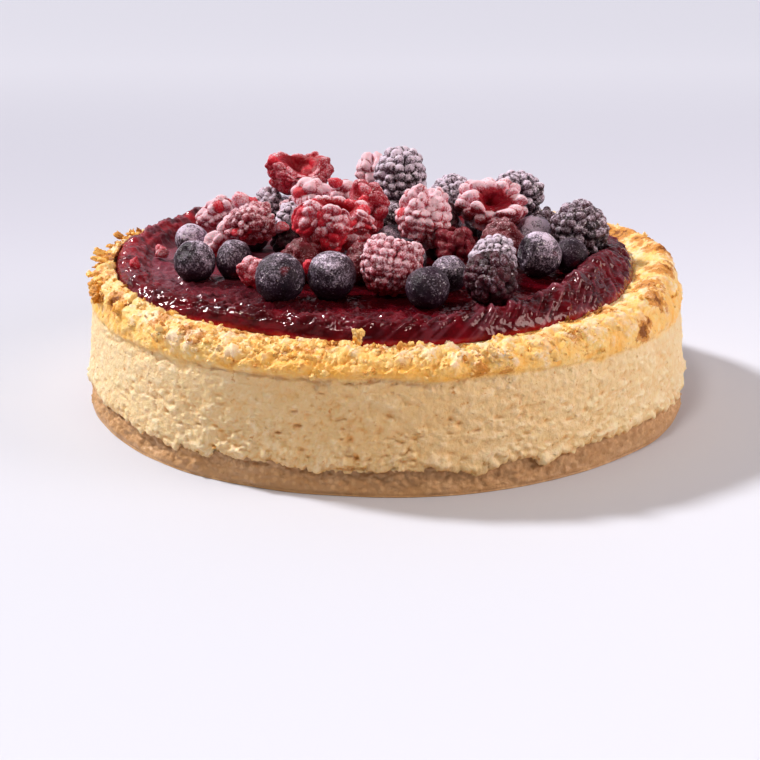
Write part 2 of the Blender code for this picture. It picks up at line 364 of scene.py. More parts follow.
def filling_material():
    made = new_material("baked_filling")
    band = made.value("band")
    mottle = made.noise(60, 4, 0.6)
    blotch = made.noise(420, 3, 0.65)
    grain = made.noise(900, 3, 0.6)
    # Painted highlight: raised and up-facing curds and crumbs are coloured paler cream.
    rise = made.wobble(made.value("rise"), mottle, 0.7)
    rise = made.wobble(rise, blotch, made.maths("MULTIPLY_ADD", band, 0.6, 0.5))
    pale = made.mix(made.spread(rise, 0.0, 0.55), (0.86, 0.53, 0.20), (0.90, 0.68, 0.37))
    pale = made.mix(made.spread(rise, 0.55, 1.0), pale, (0.97, 0.81, 0.55))
    # Painted shade: the front of the side, which faces away from the key light, is darkened and warmed.
    pale = made.mix(made.value("warm"), pale, (0.93, 0.84, 0.72), blend="MULTIPLY")
    yellow = made.mix(made.spread(rise, 0.1, 0.55), (1.0, 0.51, 0.085), (0.98, 0.64, 0.22))
    yellow = made.mix(made.spread(rise, 0.5, 0.9), yellow, (0.95, 0.75, 0.52))
    colour = made.mix(band, pale, yellow)
    colour = made.mix(made.value("gold"), colour, (1.0, 0.48, 0.06))
    # Painted shade: pits, crevices, gaps and undersides get a deeper orange.
    colour = made.lay(colour, (0.90, 0.41, 0.09), made.value("pit"), 0.6)
    holes = made.spread(made.spots(340, made.stretched((1.0, 1.0, 1.5))), 0.26, 0.08)
    holes = made.times(holes, made.spread(made.noise(120, 2), 0.42, 0.55))
    # Painted shade: the pores are coloured a darker orange.
    colour = made.lay(colour, (0.80, 0.42, 0.12), holes, 0.35)
    specks = made.spread(made.spots(140), 0.16, 0.06)
    specks = made.times(specks, made.spread(made.noise(45, 2), 0.52, 0.6))
    colour = made.lay(colour, (0.62, 0.25, 0.04), specks, 0.4)
    ragged = made.wobble(made.value("brown"), made.noise(280, 4, 0.7), 2.3)
    colour = made.lay(colour, (0.60, 0.23, 0.035), made.spread(ragged, 0.28, 0.52), 0.85)
    colour = made.lay(colour, (0.19, 0.05, 0.010), made.spread(ragged, 0.65, 0.95), 0.85)
    normal = made.bump(grain, 0.0006, 0.8)
    normal = made.bump(blotch, 0.0008, 0.6, normal)
    normal = made.bump(made.maths("SUBTRACT", 1.0, holes), 0.0004, 0.7, normal)
    return made.finish(
        Base_Color=colour,
        Roughness=made.spread(grain, 0.3, 0.7, 0.34, 0.55),
        Specular_IOR_Level=made.spread(ragged, 0.2, 0.8, 0.42, 0.12),
        Subsurface_Weight=made.times(made.value("body"), 0.35),
        Subsurface_Radius=(1.0, 0.6, 0.3),
        Subsurface_Scale=0.0010,
        Normal=normal,
    )


def base_material():
    made = new_material("moist_biscuit")
    mottle = made.noise(90, 4, 0.6)
    grain = made.noise(800, 4, 0.65)
    wet = made.value("wet")
    colour = made.mix(made.spread(mottle, 0.3, 0.7), (0.60, 0.335, 0.14), (0.74, 0.46, 0.24))
    crumbs = made.spread(made.spots(500), 0.2, 0.5)
    colour = made.lay(colour, (0.42, 0.20, 0.07), crumbs, 0.45)
    colour = made.lay(colour, (0.52, 0.28, 0.12), wet, 0.3)
    return made.finish(
        Base_Color=colour,
        Roughness=made.spread(wet, 0.0, 1.0, 0.55, 0.22),
        Specular_IOR_Level=0.5,
        Subsurface_Weight=0.12,
        Subsurface_Radius=(1.0, 0.6, 0.35),
        Subsurface_Scale=0.0015,
        Normal=made.bump(grain, 0.0005, 0.9),
    )


def jam_material():
    made = new_material("berry_jam")
    dull = made.value("dull")
    swirl = made.noise(130, 4, 0.6, distortion=0.6)
    colour = made.mix(made.spread(swirl, 0.35, 0.7), (0.045, 0.0008, 0.003), (0.15, 0.003, 0.009))
    colour = made.mix(made.value("shade"), colour, (0.022, 0.0012, 0.003))
    # Thin jam at the foot shows a lighter red; the back-left patches are painted glow of backlight.
    colour = made.mix(made.value("thin"), colour, (0.46, 0.005, 0.012))
    # Painted sheen: a pale mauve is laid where the jam is dull, standing in for reflection of the backdrop
    # and lamps.
    colour = made.lay(colour, (0.30, 0.072, 0.115), dull, 0.6)
    rough = made.maths("MULTIPLY_ADD", made.spread(made.noise(500, 3), 0.3, 0.7), 0.04, 0.04)
    rough = made.maths("MULTIPLY_ADD", dull, 0.28, rough)
    streaks = made.noise(600, 0, 0.5, made.stretched((0.35, 1.4, 0.9), 0.5))
    normal = made.bump(streaks, 0.0005, 0.8)
    normal = made.bump(made.noise(420, 1, 0.5), 0.0005, 0.8, normal)
    return made.finish(
        Base_Color=colour,
        Roughness=rough,
        Specular_IOR_Level=0.32,
        Specular_Tint=(1.0, 0.78, 0.84),
        Subsurface_Weight=0.15,
        Subsurface_Radius=(1.0, 0.06, 0.06),
        Subsurface_Scale=0.0008,
        Coat_Weight=0.05,
        Coat_Roughness=0.05,
        Normal=normal,
    )


def berry_material(name, dark, light, crease_colour, frost_colour, gloss, clear):
    """A frosted berry. Its frost value is how frosted each point is, with painted light on its top and
    painted shade at its foot; crease how deep between its drupelets, where painted shade darkens it; tone a
    number of each drupelet's own, glow how fresh and bright it is, and its darkening how far it is darkened,
    as painted shade on the buried raspberries and by a listed amount on a few others."""
    made = new_material(name)
    glow = made.value("glow")
    colour = made.mix(made.value("tone"), dark, light)
    colour = made.mix(glow, colour, (0.72, 0.020, 0.045))
    # Darkening: painted shade on buried berries, and a listed darkening on a few others.
    colour = made.mix(made.value("dusk"), colour, (0.035, 0.002, 0.006))
    depth = made.maths("MULTIPLY_ADD", glow, -0.5, 0.88)
    # Painted shade: the creases between drupelets are darkened.
    colour = made.lay(colour, crease_colour, made.value("crease"), depth)
    fine = made.noise(1900, 2, 0.6)
    middling = made.noise(700, 3, 0.6)
    # The frost mask also carries painted light on tops and painted shade at feet.
    rime = made.wobble(made.value("frost"), fine, 1.3)
    rime = made.wobble(rime, middling, 0.7)
    rime = made.wobble(rime, made.noise(190, 2, 0.5), 0.5)
    rime = made.spread(rime, 0.15, 0.85)
    thin_frost = made.mix(0.35, frost_colour, light)
    haze = made.mix(made.spread(rime, 0.5, 1.0), thin_frost, frost_colour)
    colour = made.lay(colour, haze, rime, 0.92)
    grains = made.spread(made.spots(760), 0.32, 0.14)
    scarce = made.spread(made.noise(260, 2), 0.42, 0.54)
    grains = made.times(grains, made.times(scarce, made.spread(rime, 0.0, 0.25)))
    colour = made.lay(colour, (0.92, 0.88, 0.94), grains, 0.75)
    normal = made.bump(fine, 0.0003, 1.0)
    normal = made.bump(middling, 0.0007, 0.8, normal)
    return made.finish(
        Base_Color=colour,
        Roughness=made.spread(rime, 0.0, 0.5, gloss, 0.85),
        Specular_IOR_Level=0.22,
        Subsurface_Weight=clear,
        Subsurface_Radius=(1.0, 0.3, 0.3),
        Subsurface_Scale=0.0006,
        Normal=normal,
    )


# ---------------------------------------------------------------- the layers' outlines


def frontness(angle):
    """1 at the front of the cake and 0 from its sides round the back."""
    return np.maximum(0.0, -np.sin(angle)) ** 1.2


def ring_points(angle, radius=CAKE_RADIUS, height=0.0):
    """Points [..., 3] round the cake, for noise that follows its edge."""
    return np.stack([radius * np.cos(angle), radius * np.sin(angle), angle * 0 + height], axis=-1)


def ring_noise(angle, size, seed):
    return noise(ring_points(angle), size, seed)


def rim_height(angle):
    lumps = 0.5 * np.sin(5 * angle + 1) + 0.35 * np.sin(11 * angle)
    return RIM_HEIGHT - RIM_DROP_AT_FRONT * frontness(angle) + 0.5 * lumps - 1.2 * hill(angle, 140, 20)


def ledge_height(angle):
    return LEDGE_HEIGHT - LEDGE_DROP_AT_FRONT * frontness(angle)


def crease_height(angle):
    """Where the crumbled rim meets the filling's smoother side."""
    return CREASE_HEIGHT + 1.2 * ring_noise(angle, 22.0, 31) + 0.6 * ring_noise(angle, 8.0, 32)


def jam_radius(angle):
    sag = hills(angle, (2.6, -72, 18), (-2.4, -118, 14))
    ripple = 0.7 * np.sin(7 * angle) + 0.7 * ring_noise(angle, 9.0, 5)
    return JAM_RADIUS - JAM_OFFSET * np.cos(angle) + sag + ripple


def jam_lip(angle):
    """How far the jam's rolled edge stands above the ledge."""
    swell = hills(angle, (2.6, -80, 40), (3.4, -30, 22), (3.2, 130, 32), (1.4, 148, 14))
    uneven = 0.8 * ring_noise(angle, 14.0, 6) + hill(angle, -35, 35) * ring_noise(angle, 6.5, 7)
    return JAM_LIP + swell + uneven


def side_radius(angle):
    return CAKE_RADIUS + 0.5 * np.sin(3 * angle + 0.6) + 0.3 * np.sin(8 * angle)


def lower_margin(angle):
    """The height of the filling's ragged lower edge, which hangs over the biscuit."""
    front = frontness(angle)
    teeth = 1.7 * np.maximum(0, ring_noise(angle, 7.0, 21)) + 1.5 * np.maximum(0, ring_noise(angle, 3.2, 22))
    teeth = teeth + 0.7 * ring_noise(angle, 1.6, 23)
    drips = hills(angle, (3.4, -75, 1.9), (2.8, -63, 1.5), (2.0, -121, 2.0))
    drips = drips + hills(angle, (2.2, -128, 2.2), (1.3, -96, 6), (1.6, -137, 2))
    return 8.7 - 0.5 * front - (0.6 + 0.5 * front) * teeth - drips


def filling_outline(angle):
    """The filling's outline, from its underside up its side, over the rim and down under the jam."""
    radius = side_radius(angle)
    front = frontness(angle)
    rim = rim_height(angle)
    ledge = ledge_height(angle)
    foot = jam_radius(angle)
    low = lower_margin(angle)
    crease = crease_height(angle)
    still = angle * 0

    def between(at_back, at_front):
        return blend(at_back, at_front, front)

    controls = [
        (radius - 14, still + FILLING_UNDERSIDE),
        (radius - 1.6, low + 0.8),
        (radius + 0.3, low),
        (radius + 1.0, low + 1.8),
        (radius + 0.3, still + 15),
        (radius - 0.3, still + 21),
        (radius - between(1.2, 0.9), crease - 3),
        (radius - between(1.6, 1.5), crease),
        (radius - between(1.9, 0.5), crease + between(2.0, 1.6)),
        (radius - between(4.0, 1.0), rim - between(4.2, 3.8)),
        (radius - between(6.2, 3.6), rim - between(1.0, 1.5)),
        (RIM_RADIUS - between(1.2, 0.6), rim),
        (foot + between(2.0, 1.4), ledge + between(1.0, 0.5)),
        (foot - 1.5, ledge - 0.3),
        (foot - 8, ledge - 3.5),
    ]
    return profile(controls, [2, 3, 4, 11, 12, 15, 6, 6, 12, 10, 12, 13, 6, 1])


# Browned patches: heading in degrees, radius, height, size and strength, in millimetres.
BROWNED = [
    (-164, 97.5, 42, 4.5, 0.9),
    (-160, 97.0, 45, 3.0, 1.1),
    (-149, 96.0, 41.5, 4.5, 1.0),
    (-147, 97.5, 40, 3.0, 0.9),
    (-133, 95.0, 41, 5.0, 0.55),
    (-125, 96.0, 39.8, 3.2, 0.8),
    (-122, 96.5, 39.4, 2.4, 0.8),
    (-118, 87.0, 40.6, 5.0, 0.6),
    (-113, 86.0, 40.3, 5.0, 0.65),
    (-103, 93.5, 39.0, 4.0, 0.6),
    (-99, 90.6, 39.6, 3.4, 0.85),
    (-91, 92.0, 39.0, 3.4, 0.6),
    (-87, 91.5, 39.2, 3.4, 0.65),
    (-75, 99.2, 34.0, 3.0, 0.8),
    (-71, 99.2, 34.2, 2.6, 0.6),
    (-63, 90.0, 40.1, 4.0, 0.6),
    (-56, 95.6, 39.9, 4.0, 0.5),
    (-52, 87.5, 41.6, 4.5, 0.8),
    (-44, 88.0, 42.4, 4.5, 0.8),
    (-40, 98.3, 36.2, 3.6, 1.1),
    (-38, 98.0, 38.5, 3.0, 0.7),
    (-31, 95.5, 42.2, 4.5, 1.0),
    (-26, 90.0, 44.5, 6.0, 0.8),
    (-14, 92.0, 46.5, 6.0, 0.8),
    (-1, 92.7, 47.0, 5.0, 1.0),
    (10, 93.5, 47.0, 5.0, 0.7),
    (18, 88.0, 47.4, 6.0, 0.9),
    (30, 91.0, 47.4, 6.0, 0.7),
]
# Golden, see-through stretches of the rim: heading, height, half width in degrees, half height.
GOLDEN = [
    (-97, 34.6, 6, 2.2),
    (-88, 35.2, 7, 2.4),
    (-79, 33.6, 8, 1.8),
    (-106, 36.0, 5, 2.0),
    (-72, 34.0, 6, 1.6),
]


def crumbly(angle):
    """How far the rim has crumbled at each heading, from 0 to 1: most at the front and left."""
    torn = 0.35 + hills(angle, (0.55, -88, 36), (0.25, 178, 14), (0.2, 90, 60))
    return np.clip(torn + 0.25 * ring_noise(angle, 30.0, 24), 0, 1)


def chunks(grid, size, seed):
    """Broken-off lumps that stand at different heights, and the gaps between them."""
    nearest, second, tone = cells(grid, size, seed)
    gap = ramp(second - nearest, 0.22, 0.0)
    return (0.55 - nearest) + 0.8 * (tone - 0.45) * (1 - gap) - 0.25 * gap, gap


def filling_side(grid, angle, low, crease):
    """How far the filling's side stands out at each point, how much painted shade its pits and creases get,
    and how much painted light its raised curds get.
    """
    height = grid[..., 2]
    coarse = 0.3 + 0.3 * ring_noise(angle, 45.0, 25) + hills(angle, (0.55, -112, 20), (0.25, -84, 24))
    coarse = np.clip(coarse, 0.12, 1)
    calm = 1 - (0.3 + 0.35 * ramp(height, 17, 24)) * hill(angle, -146, 34)
    lower = coarse * (0.25 + 0.75 * ramp(height, 31, 21))
    margin = ramp(height, low + 8, low + 2.0)
    flat = grid * (1.0, 1.0, 3.2)
    waves = 0.5 * noise(grid, 26.0, 1) + (0.2 + 0.28 * coarse) * layered(grid, 8.0, 4, 2, 0.6)
    tears = np.maximum(0, 1 - np.abs(layered(flat, 9.0, 3, 3)) * 5) ** 1.5
    tears = tears * ramp(noise(grid, 14.0, 4), -0.05, 0.35) * (0.2 + 0.8 * lower)
    hole, _, deep = cells(flat, 4.6, 5)
    pits = ramp(hole, 0.42, 0.12) * ramp(deep, 0.7, 0.86) * (0.3 + 0.9 * lower)
    curds = puffs(grid * (1.0, 1.0, 1.6), 3.4, 3, 6)
    curds_out = 0.7 * (curds - 0.55) * (0.4 + 0.6 * lower)
    hangs = 1.9 * (puffs(grid * (1.0, 1.0, 1.1), 6.0, 4, 7) - 0.45) * margin * (0.45 + 0.55 * coarse)
    grain = 0.4 * layered(grid, 2.4, 2, 8)
    line = frontness(angle) * (0.6 + 0.4 * ring_noise(angle, 10.0, 9)) * (0.1 + 0.7 * hill(angle, -114, 16))
    groove = line * np.exp(-(((height - crease) / 0.7) ** 2))
    folds = np.maximum(0, 1 - np.abs(layered(grid * (1.0, 1.0, 4.0), 16.0, 3, 10)) * 4) ** 2
    folds = folds * ramp(height, crease - 7, crease - 1) * hill(angle, -128, 30)
    fine = curds_out + hangs + grain - 1.4 * tears - 1.2 * pits
    side = calm * (waves + fine) - 0.6 * groove - 0.8 * folds
    # Painted shade goes into the creases between curds, and into the pits, tears, groove and folds.
    creases = ramp(curds, 0.35, 0.1) * (0.3 + 0.7 * lower) * 0.5
    pit = np.clip(pits + 0.8 * tears + creases + 0.5 * groove + 0.5 * folds, 0, 1)
    # Painted highlight: the raised curds and hangs are coloured paler.
    return side, pit, 0.5 + 0.55 * (curds_out + 0.6 * hangs + grain)


def filling_rim(grid, angle, crease):
    """How far the filling's rim stands out at each point, the gaps between its crumbs, which get painted
    shade, and its painted light on raised crumbs.
    """
    height = grid[..., 2]
    torn = crumbly(angle)
    clump = puffs(grid, 8.0, 5, 11, 0.72)
    rough = 1.5 * layered(grid, 15.0, 3, 13) + 2.4 * (clump - 0.5)
    plates, plate_gap = chunks(grid * (1.0, 1.0, 1.3), 11.0, 14)
    fuzz = puffs(grid, 2.8, 3, 15, 0.7)
    skin = 1.2 * layered(grid, 12.0, 4, 16, 0.5) + 0.5 * plates + 0.9 * (fuzz - 0.5)
    crust = ramp(noise(grid, 7.0, 17), -0.1, 0.35) * (0.5 + puffs(grid, 5.0, 3, 18))
    crust = crust * hills(angle, (1.5, -163, 7), (0.9, 178, 9), (0.75, 160, 9))
    low_band = frontness(angle) * ramp(height, crease + 4.5, crease + 1.5)
    top = (blend(skin, rough, torn) + crust) * (1 - 0.45 * low_band)
    # Painted shade goes into the gaps between crumbs.
    gaps = blend(plate_gap, 1.4 * ramp(clump, 0.36, 0.16), torn)
    # Painted highlight: raised crumbs are coloured paler, and more so towards the rim's top.
    rise = 0.35 + 0.35 * blend(0.5 * plates + 1.2 * (fuzz - 0.5), 1.9 * (clump - 0.45), torn)
    return top, gaps, rise + 0.25 * ramp(height, crease + 2, rim_height(angle))


def filling_relief(grid, angle):
    """How far each point of the filling stands out, how much it belongs to the rim's band, how much painted
    shade it gets in pits and crevices, and how much painted light on raised curds and crumbs."""
    height = grid[..., 2]
    radius = across(grid)
    low = lower_margin(angle)
    crease = crease_height(angle)
    band = ramp(height + 1.3 * noise(grid, 5.0, 19), crease - 1.2, crease + 1.8)
    side, side_pit, side_rise = filling_side(grid, angle, low, crease)
    top, gaps, top_rise = filling_rim(grid, angle, crease)
    relief = blend(side, top, band)
    # Painted shade also goes into the rim's deep hollows.
    top_pit = np.clip(0.5 * gaps + 0.7 * ramp(relief, -0.7, -2.2), 0, 1)
    open_top = ramp(radius, jam_radius(angle) - 0.5, jam_radius(angle) + 1.5)
    open_side = ramp(radius, side_radius(angle) - 6, side_radius(angle) - 2)
    relief = relief * np.where(height > 25, open_top, open_side)
    return relief, band, blend(side_pit, top_pit, band), np.clip(blend(side_rise, top_rise, band), 0, 1)


def browning(grid, angle, band):
    """How browned each point of the filling is, from 0 to about 1."""
    brown = np.zeros(grid.shape[:-1])
    for heading, radius, height, size, strength in BROWNED:
        spot = ring_points(np.radians(heading), radius, height)
        away = np.linalg.norm(grid - spot, axis=-1) / size
        brown = np.maximum(brown, strength * np.exp(-(away**2)))
    height = grid[..., 2]
    rim = rim_height(angle)
    crest = ramp(height, rim - 5.0, rim - 0.2)
    patches = ramp(layered(grid, 11.0, 3, 41), 0.05, 0.6)
    at_back = 1 - 0.85 * frontness(angle)
    brown = np.maximum(brown, 0.75 * crest * patches * at_back)
    foot = np.exp(-(((across(grid) - jam_radius(angle) - 1.2) / 1.6) ** 2))
    foot = foot * ramp(noise(grid, 9.0, 42), -0.2, 0.5) * ramp(height, 36, 38)
    return np.maximum(brown, 0.5 * foot) * band


def build_filling(material):
    """Builds the filling, and returns its rim's points, normals and looks for crumbs to lie on."""
    angle = headings(AROUND_FILLING)
    grid = turned(filling_outline(angle), angle)
    relief, band, pit, rise = filling_relief(grid, angle)
    brown = browning(grid, angle, band)
    gold = np.zeros(grid.shape[:-1])
    for heading, height, half_width, half_height in GOLDEN:
        near = hill(angle, heading, half_width) * np.exp(-(((grid[..., 2] - height) / half_height) ** 2))
        gold = np.maximum(gold, 0.75 * near)
    gold = np.maximum(gold, 0.4 * band * ramp(layered(grid, 8.0, 3, 51), 0.0, 0.6)) * band
    points = grid + outward(grid) * relief[..., None]
    lift = outward(points)[..., 2] * (1 - band)
    # Painted light: up-facing points of the side are coloured paler.
    rise = np.clip(rise + 0.5 * lift, 0, 1)
    # Painted shade: down-facing points of the side get the deeper orange.
    pit = np.clip(pit + 0.5 * ramp(lift, -0.25, -0.8), 0, 1)
    make_closed(
        "cheesecake_filling",
        points,
        ((0, 0, FILLING_UNDERSIDE), (0, 0, FILLING_UNDER_JAM)),
        material,
        "filling",
        "filling",
        band=band,
        brown=brown,
        gold=gold,
        pit=pit,
        rise=rise,
        # Painted warm shade at the front of the side.
        warm=rise * 0 + hill(angle, -90, 30),
        body=rise * 0 + 1,
    )
    radius = across(grid)
    rim = (band > 0.9) & (radius > jam_radius(angle) + 0.5)
    return points[rim], outward(points)[rim], brown[rim], np.broadcast_to(angle, radius.shape)[rim]


def lump(shape, turn, seed, rings, around, rough, flat=False):
    """Points of one irregular lump of that (length, width, thickness), turned by a rotation matrix. A
    flat one is a plate with a ragged edge."""
    polar = (np.arange(rings) + 0.5) / rings * math.pi
    angle = np.linspace(0, 2 * math.pi, around, endpoint=False)
    outline = np.stack([np.sin(polar), -np.cos(polar)], axis=-1)
    grid = turned(np.broadcast_to(outline[:, None], (rings, around, 2)), angle)
    points = with_ends(grid, (0, 0, -1), (0, 0, 1))
    if flat:
        edge = points * (1, 1, 0) / np.maximum(across(points), 1e-6)[:, None]
        ragged = 1 + 0.8 * rough * layered(edge * 9 + seed, 6.0, 4, 81, 0.75)
        bent = 1.4 * layered(points * (5, 5, 0) + seed, 4.0, 3, 82, 0.6)
        thick = np.sign(points[:, 2]) * np.abs(points[:, 2]) ** 0.5
        points = np.stack([points[:, 0] * ragged, points[:, 1] * ragged, thick + bent], axis=-1)
    else:
        uneven = rough * layered(points * 5 + seed, 6.0, 3 if rings > 7 else 2, 81, 0.65)
        points = points * (1 + uneven[:, None])
    return (points * 0.5 * np.array(shape)) @ np.array(turn).T


def scatter(name, lumps, material, slot, rings=6, around=10, rough=1.3, flat=False, **values):
    """One piece made of many lumps, each a (place, shape, turn, values) row. Rough is how uneven."""
    count = rings * around + 2
    points, faces = [], []
    levels = {key: [] for key in values}
    for number, (place, shape, turn, own) in enumerate(lumps):
        points.append(lump(shape, turn, 17.0 * number, rings, around, rough, flat) + place)
        faces.extend(closed_faces(rings, around, number * count))
        for key in values:
            levels[key].append(np.full(count, own.get(key, values[key])))
    levels = {key: np.concatenate(level) for key, level in levels.items()}
    make_piece(name, np.concatenate(points), faces, material, slot, **levels)


def any_turn(random):
    """A rotation matrix that may point anywhere."""
    return Matrix.Rotation(random.uniform(0, 6.28), 3, random.normal(size=3))


def build_crumbs(rim, material):
    """Crumbs of all sizes on the rim, thickest where it has crumbled most, and flakes of its crust."""
    points, normals, brown, angle = rim
    random = np.random.default_rng(8)
    weight = crumbly(angle) * (1 - 0.8 * hill(angle, 0, 45)) * (0.15 + ramp(noise(points, 7.0, 91), 0.0, 0.5))
    weight = weight * (0.2 + 0.8 * ramp(points[:, 2], 36.0, 38.5))
    chosen = random.choice(len(points), CRUMBS, replace=False, p=weight / weight.sum())
    lumps = []
    for index in chosen:
        size = min(2.4, 0.8 * math.exp(0.45 * random.normal()))
        shape = size * random.uniform(0.6, 1.5, 3)
        place = points[index] - normals[index] * size * random.uniform(-0.1, 0.25)
        toasted = max(0.0, brown[index] * random.uniform(0.5, 1.3) + 0.15 * random.normal() - 0.1)
        own = {"brown": toasted, "gold": random.choice([0.1, 0.1, 0.1, 0.45])}
        lumps.append((place, shape, any_turn(random), own))
    for _ in range(HEAPED_CRUMBS):
        off = random.uniform(-1, 1, 3) * (1.2, 0.8, 2.2)
        place = ring_points(math.radians(-94.5), 87.8, 41.2) + off
        lumps.append((place, random.uniform(1.2, 2.0, 3), any_turn(random), {"brown": -0.3, "gold": 0.0}))
    scatter("rim_crumbs", lumps, material, "filling", band=1.0, brown=0.0, gold=0.0, rise=0.55)

    flakes = []
    for heading, radius, height, shape, tilt in FLAKES:
        for _ in range(3):
            off = random.uniform(-1, 1, 3) * (2.0, 2.0, 0.6) - (0, 0, 0.5)
            place = ring_points(np.radians(heading), radius, height) + off
            facing = math.radians(heading + 22 * random.normal())
            raised = math.radians(-tilt + 10 * random.normal())
            turn = rotation(facing, raised, 0.25 * random.normal())
            own_shape = np.array(shape) * random.uniform((0.45, 0.5, 0.4), (0.85, 0.95, 0.75))
            flakes.append((place, own_shape, turn, {"brown": random.uniform(0.0, 0.8), "gold": 0.4}))
    for _ in range(SMALL_FLAKES):
        index = random.choice(len(points))
        shape = random.uniform(1.6, 3.4) * np.array([1.0, random.uniform(0.5, 0.9), 0.35])
        turn = rotation(angle[index], random.uniform(-0.4, 0.3), random.uniform(-0.4, 0.4))
        own = {"brown": random.uniform(0.2, 0.8)}
        flakes.append((points[index] - 0.1 * normals[index], shape, turn, own))
    values = {"band": 1.0, "brown": 0.5, "gold": 0.3, "rise": 0.4}
    scatter("crust_flakes", flakes, material, "filling", 12, 22, 1.0, flat=True, **values)


# Where flakes of crust stick out, three at each: heading, radius, height, (length, width, thickness)
# and tilt upward.
FLAKES = [
    (-169, 95.4, 45.4, (9.0, 3.4, 1.8), -4),
    (-172, 95.0, 46.0, (6.5, 4.5, 2.0), 6),
    (-176, 94.4, 46.6, (6.0, 5.0, 2.0), 8),
    (-163, 96.6, 42.8, (6.0, 6.5, 3.4), -30),
    (-160, 97.4, 41.4, (5.0, 6.5, 3.0), -60),
    (-157, 97.4, 40.8, (4.0, 6.0, 2.6), -70),
    (-166, 96.4, 44.0, (5.5, 5.0, 2.6), -10),
    (178, 93.6, 47.6, (6.5, 4.0, 1.8), 14),
    (172, 93.2, 48.0, (5.5, 4.5, 1.8), 20),
    (168, 92.6, 47.6, (4.5, 4.5, 2.2), 10),
    (165, 93.2, 47.9, (2.0, 2.4, 5.0), -8),
    (-145, 94.5, 41.6, (6.0, 6.0, 2.4), -8),
    (-127, 95.6, 39.0, (4.0, 6.0, 2.2), -16),
    (-120, 96.4, 38.4, (3.4, 6.0, 2.2), -16),
]


def build_base(material):
    angle = headings(AROUND_BASE)
    radius = side_radius(angle) + 0.4 * ring_noise(angle, 16.0, 61)
    still = angle * 0
    controls = [
        (radius - 16, still),
        (radius - 0.6, still),
        (radius + 0.5, still + 0.5),
        (radius + 0.7, still + 1.6),
        (radius + 0.1, still + 4),
        (radius - 0.6, still + 7),
        (radius - 1.6, still + BASE_HEIGHT - 0.2),
        (radius - 14, still + BASE_HEIGHT),
    ]
    grid = turned(profile(controls, [3, 3, 3, 7, 8, 6, 4]), angle)
    height = grid[..., 2]
    crumbs = puffs(grid, 2.8, 3, 62, 0.7) - 0.55
    relief = 0.9 * layered(grid, 9.0, 4, 63) + 1.2 * crumbs * (0.35 + 0.65 * ramp(height, 1, 4))
    relief = relief * ramp(height, 0.4, 1.6) * ramp(across(grid), 88, 96)
    points = grid + outward(grid) * relief[..., None]
    wet = np.clip(ramp(height, 5.5, 0.5) * (0.6 + 0.6 * noise(grid, 12.0, 64)), 0, 1)
    ends = ((0, 0, 0), (0, 0, BASE_HEIGHT))
    make_closed("biscuit_crumb_base", points, ends, material, "biscuit", "biscuit_base", wet=wet)


def resting_berries():
    """The middle and half width of every berry that stands on the jam."""
    feet = []
    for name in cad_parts:
        if name.startswith(("blueberry", "raspberry", "bramble")):
            low, high = box_of(name)
            if low[2] < JAM_FLOOR + 1.5:
                feet.append(((low + high) / 2, (high[0] - low[0] + high[1] - low[1]) / 4))
    return feet


def jam_outline(angle):
    """The jam's outline, from under its edge up over its roll and in to its middle."""
    foot = jam_radius(angle)
    ledge = ledge_height(angle)
    lip = jam_lip(angle)
    floor = angle * 0 + JAM_FLOOR
    swell = hill(angle, -28, 24)
    controls = [
        (foot - 10, ledge - 3.4),
        (foot - 1.2, ledge - 0.2),
        (foot + 0.5, ledge + 0.35),
        (foot + 0.3 - 1.5 * swell, ledge + (0.42 - 0.10 * swell) * lip),
        (foot - 1.4 - 4.2 * swell, ledge + (0.82 - 0.16 * swell) * lip),
        (foot - 4.4 - 5.2 * swell, ledge + (1.0 + 0.08 * swell) * lip),
        (foot - 8.0 - 6.0 * swell, np.maximum(floor, ledge + 0.7 * lip)),
        (foot - 13.0 - 6.5 * swell, floor),
        (foot * 0.60, floor),
        (foot * 0.30, floor),
        (foot * 0.02, floor),
    ]
    return profile(controls, [2, 3, 7, 7, 7, 8, 10, 24, 12, 4])


def jam_relief(grid, angle, inward):
    """How far the jam's wrinkled roll stands out at each point, and where a painted mauve sheen lies on its
    dull streaks.
    """
    bent = angle - 0.010 * (inward + 1.1 * (grid[..., 2] - ledge_height(angle)))
    along = ring_points(angle + inward * 0, WRINKLE_RADIUS) + inward[..., None] * (0, 0, 1.5)
    down = ring_points(bent, ROLL_RADIUS) + inward[..., None] * (0, 0, 0.25)
    slant = np.stack([ROLL_RADIUS * angle + 0.9 * inward, inward * 1.3 - 25 * angle, inward * 0], axis=-1)
    left = np.clip(hills(angle, (1, -125, 40), (0.5, 120, 70)), 0, 1)
    right = np.clip(hills(angle, (1, -50, 40), (0.5, 40, 60), (0.45, 165, 30)), 0, 1)
    edge = ramp(inward, 36, 20)

    # Wrinkles run along the rolled edge at the front left, and fine streaks down it at the front right.
    wrinkles = 0.6 - np.abs(layered(along, 6.0, 3, 71)) * 2.4
    crinkles = puffs(along, 3.4, 3, 76, 0.75) - 0.5
    streaks = layered(down, 2.4, 2, 72, 0.8)
    pleats = 0.5 - np.abs(layered(slant, 11.0, 3, 75, 0.6)) * 1.6
    ridges = 0.8 * streaks + 1.6 * layered(grid, 9.0, 4, 78, 0.6) + 1.3 * pleats
    relief = 0.6 * layered(grid, 11.0, 4, 73, 0.6) + 0.2 * layered(grid, 2.2, 2, 77)
    relief = relief + left * edge * (1.0 * wrinkles + 1.5 * crinkles)
    relief = relief + right * ramp(inward, 24, 15) * ridges
    relief = relief + 0.4 * streaks * ramp(inward, 14, 8)
    bubbles, _, tone = cells(grid, 3.4, 74)
    relief = relief + 0.5 * ramp(bubbles, 0.4, 0.05) * ramp(tone, 0.72, 0.9) * edge
    # Painted sheen: the right ridge's streaks get the mauve sheen colour.
    film = ramp(streaks + 0.5 * layered(slant, 5.0, 3, 80, 0.6), -0.1, 0.7) * right * ramp(inward, 22, 12)
    return relief * ramp(inward, 0.0, 1.5), film


